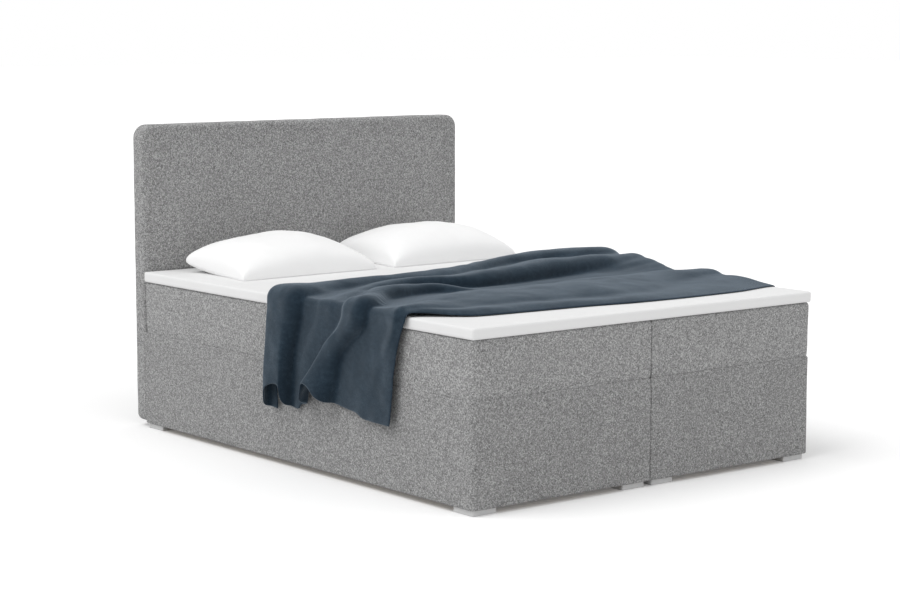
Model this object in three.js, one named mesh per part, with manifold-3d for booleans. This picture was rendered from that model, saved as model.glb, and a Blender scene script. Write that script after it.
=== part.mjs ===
import * as THREE from 'three';
import { mergeVertices } from 'three/addons/utils/BufferGeometryUtils.js';
import Module from 'manifold-3d';

// Box spring bed with two storage chests, their sprung lids on lift fittings, and its bedding.
// Millimetres, +Z up, +Y from the foot end to the headboard. The pieces are placed from the foot
// end's plane (y = 0), the bed's centre line (x = 0) and the floor (z = 0), and the last lines move
// the origin to the middle of the bed's outline, on the floor.

// Driving dimensions of the bed
const bedWidth = 1600;
const boxLength = 2083;
const footHeight = 21;
const chestHeight = 365;
const lidHeight = 202;
const headboardHeight = 1208;
const headboardThickness = 85;

// Gaps between pieces
const fitGap = 0.3;
const centreGap = 1.5;
const runningGap = 0.4;
const headboardClearance = 12;
const weldDistance = 0.001;

// Smoothness of the round forms
const cornerSteps = 5;
const edgeSteps = 4;
const holeSteps = 8;
const pinSides = 12;
const strutSides = 16;

// Levels and places that the pieces share
const halfWidth = (bedWidth - centreGap) / 2;
const halfCentre = (bedWidth + centreGap) / 4;
const chestTop = footHeight + chestHeight;
const lidBase = chestTop + fitGap;
const lidTop = chestTop + lidHeight;
const lidLength = boxLength - headboardClearance;

// Chest: padded cover over chipboard panels
const chestCoverThickness = 12;
const chestCornerRadius = 12;
const chestInnerCornerRadius = 5;
const chestTopEdgeRadius = 5;
const chestBottomEdgeRadius = 5;
const panelThickness = 16;
const floorThickness = 10;

// Feet
const footSize = 104;
const footSideInset = 10;
const footEndInset = 13;
const footRearInset = 8;
const footCentreInset = 17;
const footCornerRadius = 6;
const footChamfer = 1.5;

// Lid: padded cover over a foam pad, a pocket spring core and a base board
const lidCoverThickness = 8;
const lidCornerRadius = 14;
const lidInnerCornerRadius = 5;
const lidTopEdgeRadius = 14;
const lidBulge = 4;
const lidBulgeHeight = 60;
const lidBoardThickness = 16;
const lidPadThickness = 34;
const springPocketDiameter = 64;
const pocketSteps = 3;

// Topper
const topperThickness = 40;
const topperOverhang = 4;
const topperCornerRadius = 10;
const topperEdgeRadius = 8;
const topperRearClearance = 12;

// Headboard
const headboardSideInset = 7;
const headboardTopRadius = 52;
const headboardBottomRadius = 28;
const headboardFrontEdgeRadius = 18;
const headboardRearEdgeRadius = 22;
const headboardPadThickness = 40;
const headboardWrap = 26;
const backClothThickness = 2;

// Pillows
const pillowWidth = 654;
const pillowDepth = 406;
const pillowCrown = 119;
const pillowUnderside = 63;
const pillowFrontRim = 6;
const pillowRearRim = 47;
const pillowSideDraw = 25;
const pillowFrontDraw = 7;
const pillowEdge = 1.2;
const pillowSteps = 12;
const pillowFullness = 0.35;
const pillowUndersideFullness = 0.32;

// Lift fitting: pivots measured from the headboard's front face, and up from the chest's underside
// or down from its top
const frontPivotBack = 632;
const frontPivotRise = 158;
const frontLidPivotBack = 286;
const frontLidPivotDrop = 31;
const rearPivotBack = 294;
const rearPivotRise = 185;
const rearLidPivotBack = 136;
const rearLidPivotDrop = 20;
const strutPivotBack = 208;
const strutPivotRise = 64;
const strutLidPivotBack = 244;
const strutLidPivotDrop = 49;
const plateThickness = 3;
const rivetHeadThickness = 2.2;
const linkThickness = 4;
const linkEndRadius = 16;
const studRadius = 5;
const studHoleRadius = 5.6;
const rivetHeadRadius = 9;
const openPivotHoleRadius = 10.4;
const openPivotHeadRadius = 13;
const basePlateMargin = 24;
const bracketMargin = 20;
const bracketFlangeWidth = 30;
const bracketFlangeThickness = 3;
const strutStudRadius = 4;
const strutHoleRadius = 4.5;
const strutEyeRadius = 9;
const strutEyeThickness = 8;
const strutClearance = 1;
const cylinderRadius = 9;
const cylinderBoreRadius = 7.5;
const cylinderStart = 13;
const cylinderBottom = 20;
const cylinderEndGap = 32;
const cylinderNeck = 10;
const rodRadius = 4;
const rodNeckRadius = 4.6;
const pistonRadius = 7;
const pistonLength = 10;
const pistonSeat = 4;
const eyeNeckOverlap = 3;

// Throw
const throwThickness = 6;
const throwDrop = 400;
const throwRightDrop = 204;
const throwFoldDepth = 80;
const hangSteps = 6;
const bendSteps = 3;
const acrossSteps = 14;
const rightHangSteps = 4;
const flankReachShare = 0.85;
const flankDropShare = 0.94;
const flankFollowShare = 0.8;
const flankCurlTurn = 0.4;
const leastFlankReach = 4;

function finish(colour, roughness, metalness) {
  return new THREE.MeshStandardMaterial({ color: colour, roughness, metalness });
}

const finishes = {
  upholstery: () => finish(0x8f8f8f, 0.95, 0),
  chipboard: () => finish(0xb89b72, 0.8, 0),
  plywood: () => finish(0xc9ab7c, 0.75, 0),
  springCore: () => finish(0xe6e6e2, 0.9, 0),
  foam: () => finish(0xe9e2c8, 0.95, 0),
  topper: () => finish(0xf2f2f2, 0.85, 0),
  pillow: () => finish(0xfafafa, 0.8, 0),
  throw: () => finish(0x3d4a56, 0.95, 0),
  foot: () => finish(0xb4b4b2, 0.45, 0),
  backCloth: () => finish(0x3a3a3c, 0.9, 0),
  fitting: () => finish(0x9da1a5, 0.35, 0.9),
  cylinder: () => finish(0x1d1e20, 0.35, 0.6),
  rod: () => finish(0xc8ccd0, 0.15, 1),
};

function addPiece(parent, name, geometry, finishName) {
  const mesh = new THREE.Mesh(geometry, finishes[finishName]());
  mesh.name = name;
  parent.add(mesh);
  return mesh;
}

const wasm = await Module();
wasm.setup();

function toSolid(geometry) {
  const bare = geometry.clone();
  bare.deleteAttribute('normal');
  bare.deleteAttribute('uv');
  const merged = mergeVertices(bare, weldDistance);
  return new wasm.Manifold(new wasm.Mesh({
    numProp: 3,
    vertProperties: new Float32Array(merged.attributes.position.array),
    triVerts: new Uint32Array(merged.index.array),
  }));
}

function toGeometry(solid) {
  const mesh = solid.getMesh();
  const geometry = new THREE.BufferGeometry();
  geometry.setAttribute('position', new THREE.BufferAttribute(new Float32Array(mesh.vertProperties), 3));
  geometry.setIndex(new THREE.BufferAttribute(new Uint32Array(mesh.triVerts), 1));
  return geometry;
}

function join(first, ...others) {
  return toGeometry(others.reduce((sum, next) => sum.add(toSolid(next)), toSolid(first)));
}

// A board between two corners
function board(xRange, yRange, zRange) {
  const size = [xRange, yRange, zRange].map(([low, high]) => high - low);
  const middle = [xRange, yRange, zRange].map(([low, high]) => (low + high) / 2);
  return new THREE.BoxGeometry(...size).translate(...middle);
}

// An outline drawn in (y, z), as thick as the stretch of x that it spans
const outlineToYZ = new THREE.Matrix4().makeBasis(
  new THREE.Vector3(0, 1, 0),
  new THREE.Vector3(0, 0, 1),
  new THREE.Vector3(1, 0, 0),
);

function plateAlongX(outline, xStart, xEnd) {
  const geometry = new THREE.ExtrudeGeometry(outline, {
    depth: Math.abs(xEnd - xStart),
    bevelEnabled: false,
    curveSegments: holeSteps,
  });
  geometry.applyMatrix4(outlineToYZ);
  return geometry.translate(Math.min(xStart, xEnd), 0, 0);
}

function pinAlongX(place, radius, xStart, xEnd) {
  const geometry = new THREE.CylinderGeometry(radius, radius, Math.abs(xEnd - xStart), pinSides);
  return geometry.rotateZ(Math.PI / 2).translate((xStart + xEnd) / 2, place.y, place.z);
}

function circle(place, radius) {
  return new THREE.Path().absarc(place.y, place.z, radius, 0, Math.PI * 2, false);
}

// A bar with round ends about two places
function barOutline(from, to, radius) {
  const turn = Math.atan2(to.z - from.z, to.y - from.y);
  const quarter = Math.PI / 2;
  const outline = new THREE.Shape();
  outline.absarc(from.y, from.z, radius, turn + quarter, turn + 3 * quarter, false);
  outline.absarc(to.y, to.z, radius, turn - quarter, turn + quarter, false);
  outline.closePath();
  return outline;
}

// A ring of points round a rectangle with round corners, drawn in by inset, at a height.
// The corners' radii go counterclockwise from (+x, +y).
function planRing(halfX, halfY, radii, inset, height) {
  const ring = [];
  const signs = [[1, 1], [-1, 1], [-1, -1], [1, -1]];
  signs.forEach(([signX, signY], corner) => {
    const radius = Math.max(radii[corner] - inset, fitGap);
    const centreX = signX * (halfX - inset - radius);
    const centreY = signY * (halfY - inset - radius);
    for (let step = 0; step <= cornerSteps; step += 1) {
      const angle = (corner + step / cornerSteps) * Math.PI / 2;
      const x = centreX + radius * Math.cos(angle);
      const y = centreY + radius * Math.sin(angle);
      ring.push(new THREE.Vector3(x, y, height));
    }
  });
  return ring;
}

// A closed skin through rings of the same count. A loop joins the last ring to the first, and
// otherwise both ends are capped.
function skin(rings, isLoop) {
  const count = rings[0].length;
  const positions = rings.flat().flatMap((point) => [point.x, point.y, point.z]);
  const indices = [];
  const bands = isLoop ? rings.length : rings.length - 1;
  for (let band = 0; band < bands; band += 1) {
    const low = band * count;
    const high = ((band + 1) % rings.length) * count;
    for (let step = 0; step < count; step += 1) {
      const next = (step + 1) % count;
      indices.push(low + step, low + next, high + next);
      indices.push(low + step, high + next, high + step);
    }
  }
  if (!isLoop) {
    capRing(positions, indices, rings[0], 0, true);
    capRing(positions, indices, rings[rings.length - 1], (rings.length - 1) * count, false);
  }
  const geometry = new THREE.BufferGeometry();
  geometry.setAttribute('position', new THREE.Float32BufferAttribute(positions, 3));
  geometry.setIndex(indices);
  return geometry;
}

function capRing(positions, indices, ring, first, isStart) {
  const centre = ring.reduce((sum, point) => sum.add(point), new THREE.Vector3());
  centre.divideScalar(ring.length);
  const hub = positions.length / 3;
  positions.push(centre.x, centre.y, centre.z);
  for (let step = 0; step < ring.length; step += 1) {
    const next = (step + 1) % ring.length;
    const here = isStart ? next : step;
    const there = isStart ? step : next;
    indices.push(hub, first + here, first + there);
  }
}

// Profile points of a quarter round, as [inset, height], from a vertical wall over to a flat top
function roundOver(radius, top, startInset = 0) {
  const points = [];
  for (let step = 0; step <= edgeSteps; step += 1) {
    const angle = (step / edgeSteps) * Math.PI / 2;
    points.push([startInset + radius * (1 - Math.cos(angle)), top - radius * (1 - Math.sin(angle))]);
  }
  return points;
}

// The same quarter round from a flat underside out to a vertical wall
function roundUnder(radius, bottom) {
  return roundOver(radius, -bottom).map(([inset, height]) => [inset, -height]).reverse();
}

function even(radius) {
  return [radius, radius, radius, radius];
}

// Radii of a box half's corners, whose inner side stands against the other half
function cornerRadii(sign, outer, inner) {
  return sign > 0 ? [outer, inner, inner, outer] : [inner, outer, outer, inner];
}

// Storage chests

function chestCover(sign) {
  const halfLength = boxLength / 2;
  const radii = cornerRadii(sign, chestCornerRadius, chestInnerCornerRadius);
  const profile = [
    [chestCoverThickness, chestHeight],
    [chestCoverThickness, 0],
    ...roundUnder(chestBottomEdgeRadius, 0),
    ...roundOver(chestTopEdgeRadius, chestHeight),
  ];
  const rings = profile.map(([inset, height]) => (
    planRing(halfWidth / 2, halfLength, radii, inset, height)
  ));
  return skin(rings, true);
}

function addChest(bed, side, sign) {
  const chest = new THREE.Group();
  chest.position.set(sign * halfCentre, boxLength / 2, footHeight);
  bed.add(chest);
  const outerX = halfWidth / 2 - chestCoverThickness - fitGap;
  const outerY = boxLength / 2 - chestCoverThickness - fitGap;
  const innerX = outerX - panelThickness;
  const innerY = outerY - panelThickness;
  const panelHeights = [0, chestHeight];
  addPiece(chest, `${side}_chest_cover`, chestCover(sign), 'upholstery');
  for (const [place, direction] of [['outer', sign], ['inner', -sign]]) {
    const xRange = direction > 0 ? [innerX, outerX] : [-outerX, -innerX];
    const panel = board(xRange, [-outerY, outerY], panelHeights);
    addPiece(chest, `${side}_chest_${place}_panel`, panel, 'chipboard');
  }
  const between = [-(innerX - fitGap), innerX - fitGap];
  addPiece(chest, `${side}_chest_front_panel`, board(between, [-outerY, -innerY], panelHeights), 'chipboard');
  addPiece(chest, `${side}_chest_rear_panel`, board(between, [innerY, outerY], panelHeights), 'chipboard');
  const floorReach = [-(innerY - fitGap), innerY - fitGap];
  addPiece(chest, `${side}_chest_floor`, board(between, floorReach, [0, floorThickness]), 'chipboard');
}

// Feet: flat plastic blocks under the chests' corners

function footBlock() {
  const half = footSize / 2;
  const top = footHeight - fitGap;
  const profile = [[footChamfer, 0], [0, footChamfer], [0, top]];
  return skin(profile.map(([inset, height]) => planRing(half, half, even(footCornerRadius), inset, height)), false);
}

function addFeet(bed, side, sign) {
  const places = [
    ['outer', bedWidth / 2 - footSideInset - footSize / 2],
    ['inner', footCentreInset + footSize / 2],
  ];
  for (const [place, x] of places) {
    const front = addPiece(bed, `${side}_${place}_front_foot`, footBlock(), 'foot');
    front.position.set(sign * x, footEndInset + footSize / 2, 0);
    const rear = addPiece(bed, `${side}_${place}_rear_foot`, footBlock(), 'foot');
    rear.position.set(sign * x, boxLength - footRearInset - footSize / 2, 0);
  }
}

// Headboard: built flat with its front face up, then stood on end

function addHeadboard(bed) {
  const height = headboardHeight - footHeight;
  const radii = [headboardTopRadius, headboardTopRadius, headboardBottomRadius, headboardBottomRadius];
  const depth = headboardThickness - fitGap;
  const pocket = depth - headboardPadThickness;
  const halfBoard = bedWidth / 2 - headboardSideInset;
  const ring = (inset, level) => planRing(halfBoard, height / 2, radii, inset, level);
  const profile = [
    [headboardWrap, pocket],
    [headboardWrap, 0],
    ...roundUnder(headboardRearEdgeRadius, 0),
    ...roundOver(headboardFrontEdgeRadius, depth),
  ];
  const upholstery = skin(profile.map(([inset, level]) => ring(inset, level)), false);
  const panelEdge = headboardWrap + fitGap;
  const panelLevels = [backClothThickness + fitGap, pocket - fitGap];
  const panel = skin(panelLevels.map((level) => ring(panelEdge, level)), false);
  const cloth = skin([0, backClothThickness].map((level) => ring(panelEdge, level)), false);
  const headboard = new THREE.Group();
  headboard.rotation.x = Math.PI / 2;
  headboard.position.set(0, boxLength + headboardThickness, footHeight + height / 2);
  bed.add(headboard);
  addPiece(headboard, 'headboard_upholstery', upholstery, 'upholstery');
  addPiece(headboard, 'headboard_panel', panel, 'chipboard');
  addPiece(headboard, 'headboard_back_cloth', cloth, 'backCloth');
}

// Sprung lids

function lidCover(radii, height) {
  const inner = lidBulge + lidCoverThickness;
  const profile = [
    [inner, height - lidCoverThickness],
    [inner, 0],
    [lidBulge, 0],
    [lidBulge / 3, lidBulgeHeight / 3],
    [0, lidBulgeHeight],
    ...roundOver(lidTopEdgeRadius, height),
  ];
  return skin(profile.map(([inset, level]) => (
    planRing(halfWidth / 2, lidLength / 2, radii, inset, level)
  )), false);
}

// A block's outline with a row of half round pockets along each of its sides
function pocketOutline(halfX, halfY) {
  const depth = springPocketDiameter / 2;
  const [x, y] = [halfX - depth, halfY - depth];
  const corners = [[x, -y], [x, y], [-x, y], [-x, -y]].map((place) => new THREE.Vector2(...place));
  const outline = [];
  corners.forEach((from, corner) => {
    const side = corners[(corner + 1) % corners.length].clone().sub(from);
    const along = side.clone().normalize();
    const outward = new THREE.Vector2(along.y, -along.x);
    const count = Math.round(side.length() / springPocketDiameter);
    const reach = side.length() / count / 2;
    for (let pocket = 0; pocket < count; pocket += 1) {
      for (let step = 0; step < pocketSteps; step += 1) {
        const angle = Math.PI * step / pocketSteps;
        const point = from.clone().addScaledVector(along, reach * (2 * pocket + 1 - Math.cos(angle)));
        outline.push(point.addScaledVector(outward, depth * Math.sin(angle)));
      }
    }
  });
  return outline;
}

function springCore(halfX, halfY, low, high) {
  const outline = new THREE.Shape(pocketOutline(halfX, halfY));
  const geometry = new THREE.ExtrudeGeometry(outline, { depth: high - low, bevelEnabled: false });
  return geometry.translate(0, 0, low);
}

function addLid(bed, side, sign) {
  const lid = new THREE.Group();
  lid.position.set(sign * halfCentre, lidLength / 2, lidBase);
  bed.add(lid);
  const height = lidTop - lidBase;
  const inset = lidBulge + lidCoverThickness + fitGap;
  const halfX = halfWidth / 2 - inset;
  const halfY = lidLength / 2 - inset;
  const padTop = height - lidCoverThickness - fitGap;
  const padBase = padTop - lidPadThickness;
  const radii = cornerRadii(sign, lidCornerRadius, lidInnerCornerRadius);
  const ring = (level) => planRing(halfWidth / 2, lidLength / 2, radii, inset, level);
  addPiece(lid, `${side}_lid_cover`, lidCover(radii, height), 'upholstery');
  addPiece(lid, `${side}_lid_foam_pad`, skin([ring(padBase), ring(padTop)], false), 'foam');
  const core = springCore(halfX, halfY, lidBoardThickness + fitGap, padBase - fitGap);
  addPiece(lid, `${side}_lid_spring_core`, core, 'springCore');
  addPiece(lid, `${side}_lid_base_board`, skin([ring(0), ring(lidBoardThickness)], false), 'plywood');
}

// Lift fittings: every layer is counted from the chest panel's inner face towards the storage space

const layers = {};
layers.plate = [fitGap, fitGap + plateThickness];
layers.innerHead = [layers.plate[1] + runningGap, layers.plate[1] + runningGap + rivetHeadThickness];
layers.link = [layers.innerHead[1] + runningGap, layers.innerHead[1] + runningGap + linkThickness];
layers.outerHead = [layers.link[1] + runningGap, layers.link[1] + runningGap + rivetHeadThickness];
layers.flange = [layers.link[1] + runningGap, layers.link[1] + runningGap + bracketFlangeThickness];
layers.strutAxis = layers.flange[1] + strutClearance + cylinderRadius;
layers.eye = [layers.strutAxis - strutEyeThickness / 2, layers.strutAxis + strutEyeThickness / 2];
layers.strutHead = [layers.eye[1] + runningGap, layers.eye[1] + runningGap + rivetHeadThickness];

const pivots = {
  front: { y: boxLength - frontPivotBack, z: footHeight + frontPivotRise },
  frontLid: { y: boxLength - frontLidPivotBack, z: chestTop - frontLidPivotDrop },
  rear: { y: boxLength - rearPivotBack, z: footHeight + rearPivotRise },
  rearLid: { y: boxLength - rearLidPivotBack, z: chestTop - rearLidPivotDrop },
  strut: { y: boxLength - strutPivotBack, z: footHeight + strutPivotRise },
  strutLid: { y: boxLength - strutLidPivotBack, z: chestTop - strutLidPivotDrop },
};
const strutRun = pivots.strutLid.y - pivots.strut.y;
const strutClimb = pivots.strutLid.z - pivots.strut.z;
const strutLength = Math.hypot(strutRun, strutClimb);

// The stretch of x that a layer fills, for a fitting on a panel's face that looks towards inward
function spanOf(face, inward, layer) {
  return layer.map((depth) => face + inward * depth);
}

function basePlate(face, inward) {
  const { front, rear, strut } = pivots;
  const outline = new THREE.Shape();
  const low = strut.z - basePlateMargin;
  outline.moveTo(front.y - basePlateMargin, front.z - basePlateMargin);
  outline.lineTo(rear.y, low);
  outline.lineTo(strut.y + basePlateMargin, low);
  outline.lineTo(strut.y + basePlateMargin, strut.z + basePlateMargin);
  outline.lineTo(rear.y + basePlateMargin, rear.z + basePlateMargin);
  outline.lineTo(front.y - basePlateMargin, front.z + basePlateMargin);
  outline.closePath();
  const span = (layer) => spanOf(face, inward, layer);
  const studEnd = face + inward * layers.outerHead[1];
  const strutEnd = face + inward * layers.strutHead[1];
  const root = span(layers.plate)[0];
  return join(
    plateAlongX(outline, ...span(layers.plate)),
    pinAlongX(front, studRadius, root, studEnd),
    pinAlongX(front, rivetHeadRadius, ...span(layers.outerHead)),
    pinAlongX(rear, studRadius, root, studEnd),
    pinAlongX(rear, rivetHeadRadius, ...span(layers.outerHead)),
    pinAlongX(strut, strutStudRadius, root, strutEnd),
    pinAlongX(strut, rivetHeadRadius, ...span(layers.strutHead)),
  );
}

function link(from, to, toHoleRadius, face, inward) {
  const outline = barOutline(from, to, linkEndRadius);
  outline.holes.push(circle(from, studHoleRadius), circle(to, toHoleRadius));
  return plateAlongX(outline, ...spanOf(face, inward, layers.link));
}

function lidBracket(face, inward) {
  const { frontLid, rearLid, strutLid } = pivots;
  const top = lidBase - fitGap;
  const outline = new THREE.Shape();
  outline.moveTo(frontLid.y - bracketMargin, frontLid.z);
  outline.lineTo(frontLid.y, frontLid.z - bracketMargin);
  outline.lineTo(strutLid.y - bracketMargin / 2, strutLid.z - bracketMargin);
  outline.lineTo(strutLid.y + bracketMargin, strutLid.z - bracketMargin);
  outline.lineTo(rearLid.y + bracketMargin, rearLid.z - bracketMargin / 2);
  outline.lineTo(rearLid.y + bracketMargin, top);
  outline.lineTo(frontLid.y - bracketMargin, top);
  outline.closePath();
  const span = (layer) => spanOf(face, inward, layer);
  const flange = span(layers.flange);
  const flangeReach = [flange[0], flange[0] + inward * bracketFlangeWidth].sort((a, b) => a - b);
  const along = [frontLid.y - bracketMargin, rearLid.y + bracketMargin];
  const strutEnd = face + inward * layers.strutHead[1];
  const linkPinEnd = face + inward * layers.innerHead[0];
  return join(
    plateAlongX(outline, ...flange),
    board(flangeReach, along, [top - bracketFlangeThickness, top]),
    pinAlongX(frontLid, studRadius, flange[1], linkPinEnd),
    pinAlongX(frontLid, rivetHeadRadius, ...span(layers.innerHead)),
    pinAlongX(rearLid, studRadius, flange[1], linkPinEnd),
    pinAlongX(rearLid, openPivotHeadRadius, ...span(layers.innerHead)),
    pinAlongX(strutLid, strutStudRadius, flange[0], strutEnd),
    pinAlongX(strutLid, rivetHeadRadius, ...span(layers.strutHead)),
  );
}

// A round body along the strut, from a profile of [radius, distance from the chest pivot]
function strutBody(profile, face, inward) {
  const points = profile.map(([radius, reach]) => new THREE.Vector2(radius, reach));
  const geometry = new THREE.LatheGeometry(points, strutSides);
  geometry.rotateX(Math.atan2(strutClimb, strutRun));
  return geometry.translate(face + inward * layers.strutAxis, pivots.strut.y, pivots.strut.z);
}

function strutEye(place, face, inward) {
  const outline = new THREE.Shape().absarc(place.y, place.z, strutEyeRadius, 0, Math.PI * 2, false);
  outline.holes.push(circle(place, strutHoleRadius));
  return plateAlongX(outline, ...spanOf(face, inward, layers.eye));
}

function strutCylinder(face, inward) {
  const neckStart = strutHoleRadius + eyeNeckOverlap;
  const cylinderEnd = strutLength - cylinderEndGap;
  const body = strutBody([
    [0, neckStart],
    [rodRadius, neckStart],
    [rodRadius, cylinderStart],
    [cylinderRadius, cylinderStart],
    [cylinderRadius, cylinderEnd],
    [rodNeckRadius, cylinderEnd],
    [rodNeckRadius, cylinderEnd - cylinderNeck],
    [cylinderBoreRadius, cylinderEnd - cylinderNeck],
    [cylinderBoreRadius, cylinderBottom],
    [0, cylinderBottom],
  ], face, inward);
  return join(body, strutEye(pivots.strut, face, inward));
}

function strutRod(face, inward) {
  const rodEnd = strutLength - strutHoleRadius - eyeNeckOverlap;
  const pistonBase = cylinderBottom + pistonSeat;
  const body = strutBody([
    [0, pistonBase],
    [pistonRadius, pistonBase],
    [pistonRadius, pistonBase + pistonLength],
    [rodRadius, pistonBase + pistonLength],
    [rodRadius, rodEnd],
    [0, rodEnd],
  ], face, inward);
  return join(body, strutEye(pivots.strutLid, face, inward));
}

function addFittings(bed, side, sign) {
  const reach = halfWidth / 2 - chestCoverThickness - fitGap - panelThickness;
  for (const [place, direction] of [['outer', sign], ['inner', -sign]]) {
    const face = sign * halfCentre + direction * reach;
    const inward = -direction;
    const name = (piece) => `${side}_${place}_${piece}`;
    const { front, frontLid, rear, rearLid } = pivots;
    addPiece(bed, name('base_plate'), basePlate(face, inward), 'fitting');
    addPiece(bed, name('front_link'), link(front, frontLid, studHoleRadius, face, inward), 'fitting');
    addPiece(bed, name('rear_link'), link(rear, rearLid, openPivotHoleRadius, face, inward), 'fitting');
    addPiece(bed, name('lid_bracket'), lidBracket(face, inward), 'fitting');
    addPiece(bed, name('strut_cylinder'), strutCylinder(face, inward), 'cylinder');
    addPiece(bed, name('strut_rod'), strutRod(face, inward), 'rod');
  }
}

// Topper: one piece across both lids

const topperBase = lidTop + fitGap;
const topperTop = topperBase + topperThickness;
const topperHalfWidth = bedWidth / 2 + topperOverhang;
const topperFront = -topperOverhang;
const topperRear = boxLength - topperRearClearance;

function addTopper(bed) {
  const halfLength = (topperRear - topperFront) / 2;
  const profile = [
    ...roundUnder(topperEdgeRadius, 0),
    ...roundOver(topperEdgeRadius, topperThickness),
  ];
  const geometry = skin(profile.map(([inset, height]) => (
    planRing(topperHalfWidth, halfLength, even(topperCornerRadius), inset, height)
  )), false);
  const topper = addPiece(bed, 'topper', geometry, 'topper');
  topper.position.set(0, (topperFront + topperRear) / 2, topperBase);
}

// Pillows: crowned, with sides drawn in between pointed corners, and flat where they lie

function pillowGeometry() {
  const positions = [];
  const indices = [];
  const row = pillowSteps + 1;
  const addPoint = (side, acrossStep, alongStep) => {
    const across = Math.sin((acrossStep / pillowSteps - 0.5) * Math.PI);
    const along = Math.sin((alongStep / pillowSteps - 0.5) * Math.PI);
    const x = across * (pillowWidth / 2 - pillowSideDraw * (1 - along ** 2));
    const y = along * (pillowDepth / 2 - pillowFrontDraw * (1 - across ** 2));
    const swell = Math.max((1 - across ** 2) * (1 - along ** 2), 0);
    const rim = pillowFrontRim + (pillowRearRim - pillowFrontRim) * (along + 1) / 2;
    const top = rim + pillowEdge + pillowCrown * swell ** pillowFullness;
    const bottom = Math.max(rim - pillowEdge - pillowUnderside * swell ** pillowUndersideFullness, 0);
    positions.push(x, y, side > 0 ? top : bottom);
  };
  for (const side of [1, -1]) {
    for (let acrossStep = 0; acrossStep <= pillowSteps; acrossStep += 1) {
      for (let alongStep = 0; alongStep <= pillowSteps; alongStep += 1) addPoint(side, acrossStep, alongStep);
    }
  }
  const under = row * row;
  for (let a = 0; a < pillowSteps; a += 1) {
    for (let b = 0; b < pillowSteps; b += 1) {
      const corner = a * row + b;
      indices.push(corner, corner + row, corner + row + 1, corner, corner + row + 1, corner + 1);
      const below = under + corner;
      indices.push(below, below + row + 1, below + row, below, below + 1, below + row + 1);
    }
  }
  closeRim(indices, row, row, under, false);
  const geometry = new THREE.BufferGeometry();
  geometry.setAttribute('position', new THREE.Float32BufferAttribute(positions, 3));
  geometry.setIndex(indices);
  return geometry;
}

// Joins the rims of two grids that lie one over the other, the upper one first in the list. The
// rim runs the other way round where the grid's columns follow x.
function closeRim(indices, rows, columns, under, columnsFollowX) {
  const rim = [];
  for (let a = 0; a < rows - 1; a += 1) rim.push(a * columns);
  for (let b = 0; b < columns - 1; b += 1) rim.push((rows - 1) * columns + b);
  for (let a = rows - 1; a > 0; a -= 1) rim.push(a * columns + columns - 1);
  for (let b = columns - 1; b > 0; b -= 1) rim.push(b);
  rim.forEach((here, step) => {
    const next = rim[(step + 1) % rim.length];
    const [start, end] = columnsFollowX ? [next, here] : [here, next];
    indices.push(start, under + start, under + end, start, under + end, end);
  });
}

// Places of the pillows' centres as shares of the bed's width and length, and their turns
const pillowPlaces = [
  { name: 'left_pillow', acrossShare: -0.219, alongShare: 0.848, turn: 0.029 },
  { name: 'right_pillow', acrossShare: 0.244, alongShare: 0.854, turn: 0.013 },
];

function addPillows(bed) {
  for (const { name, acrossShare, alongShare, turn } of pillowPlaces) {
    const pillow = addPiece(bed, name, pillowGeometry(), 'pillow');
    pillow.rotation.z = turn;
    pillow.position.set(acrossShare * bedWidth, alongShare * boxLength, topperTop + fitGap);
  }
}

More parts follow.
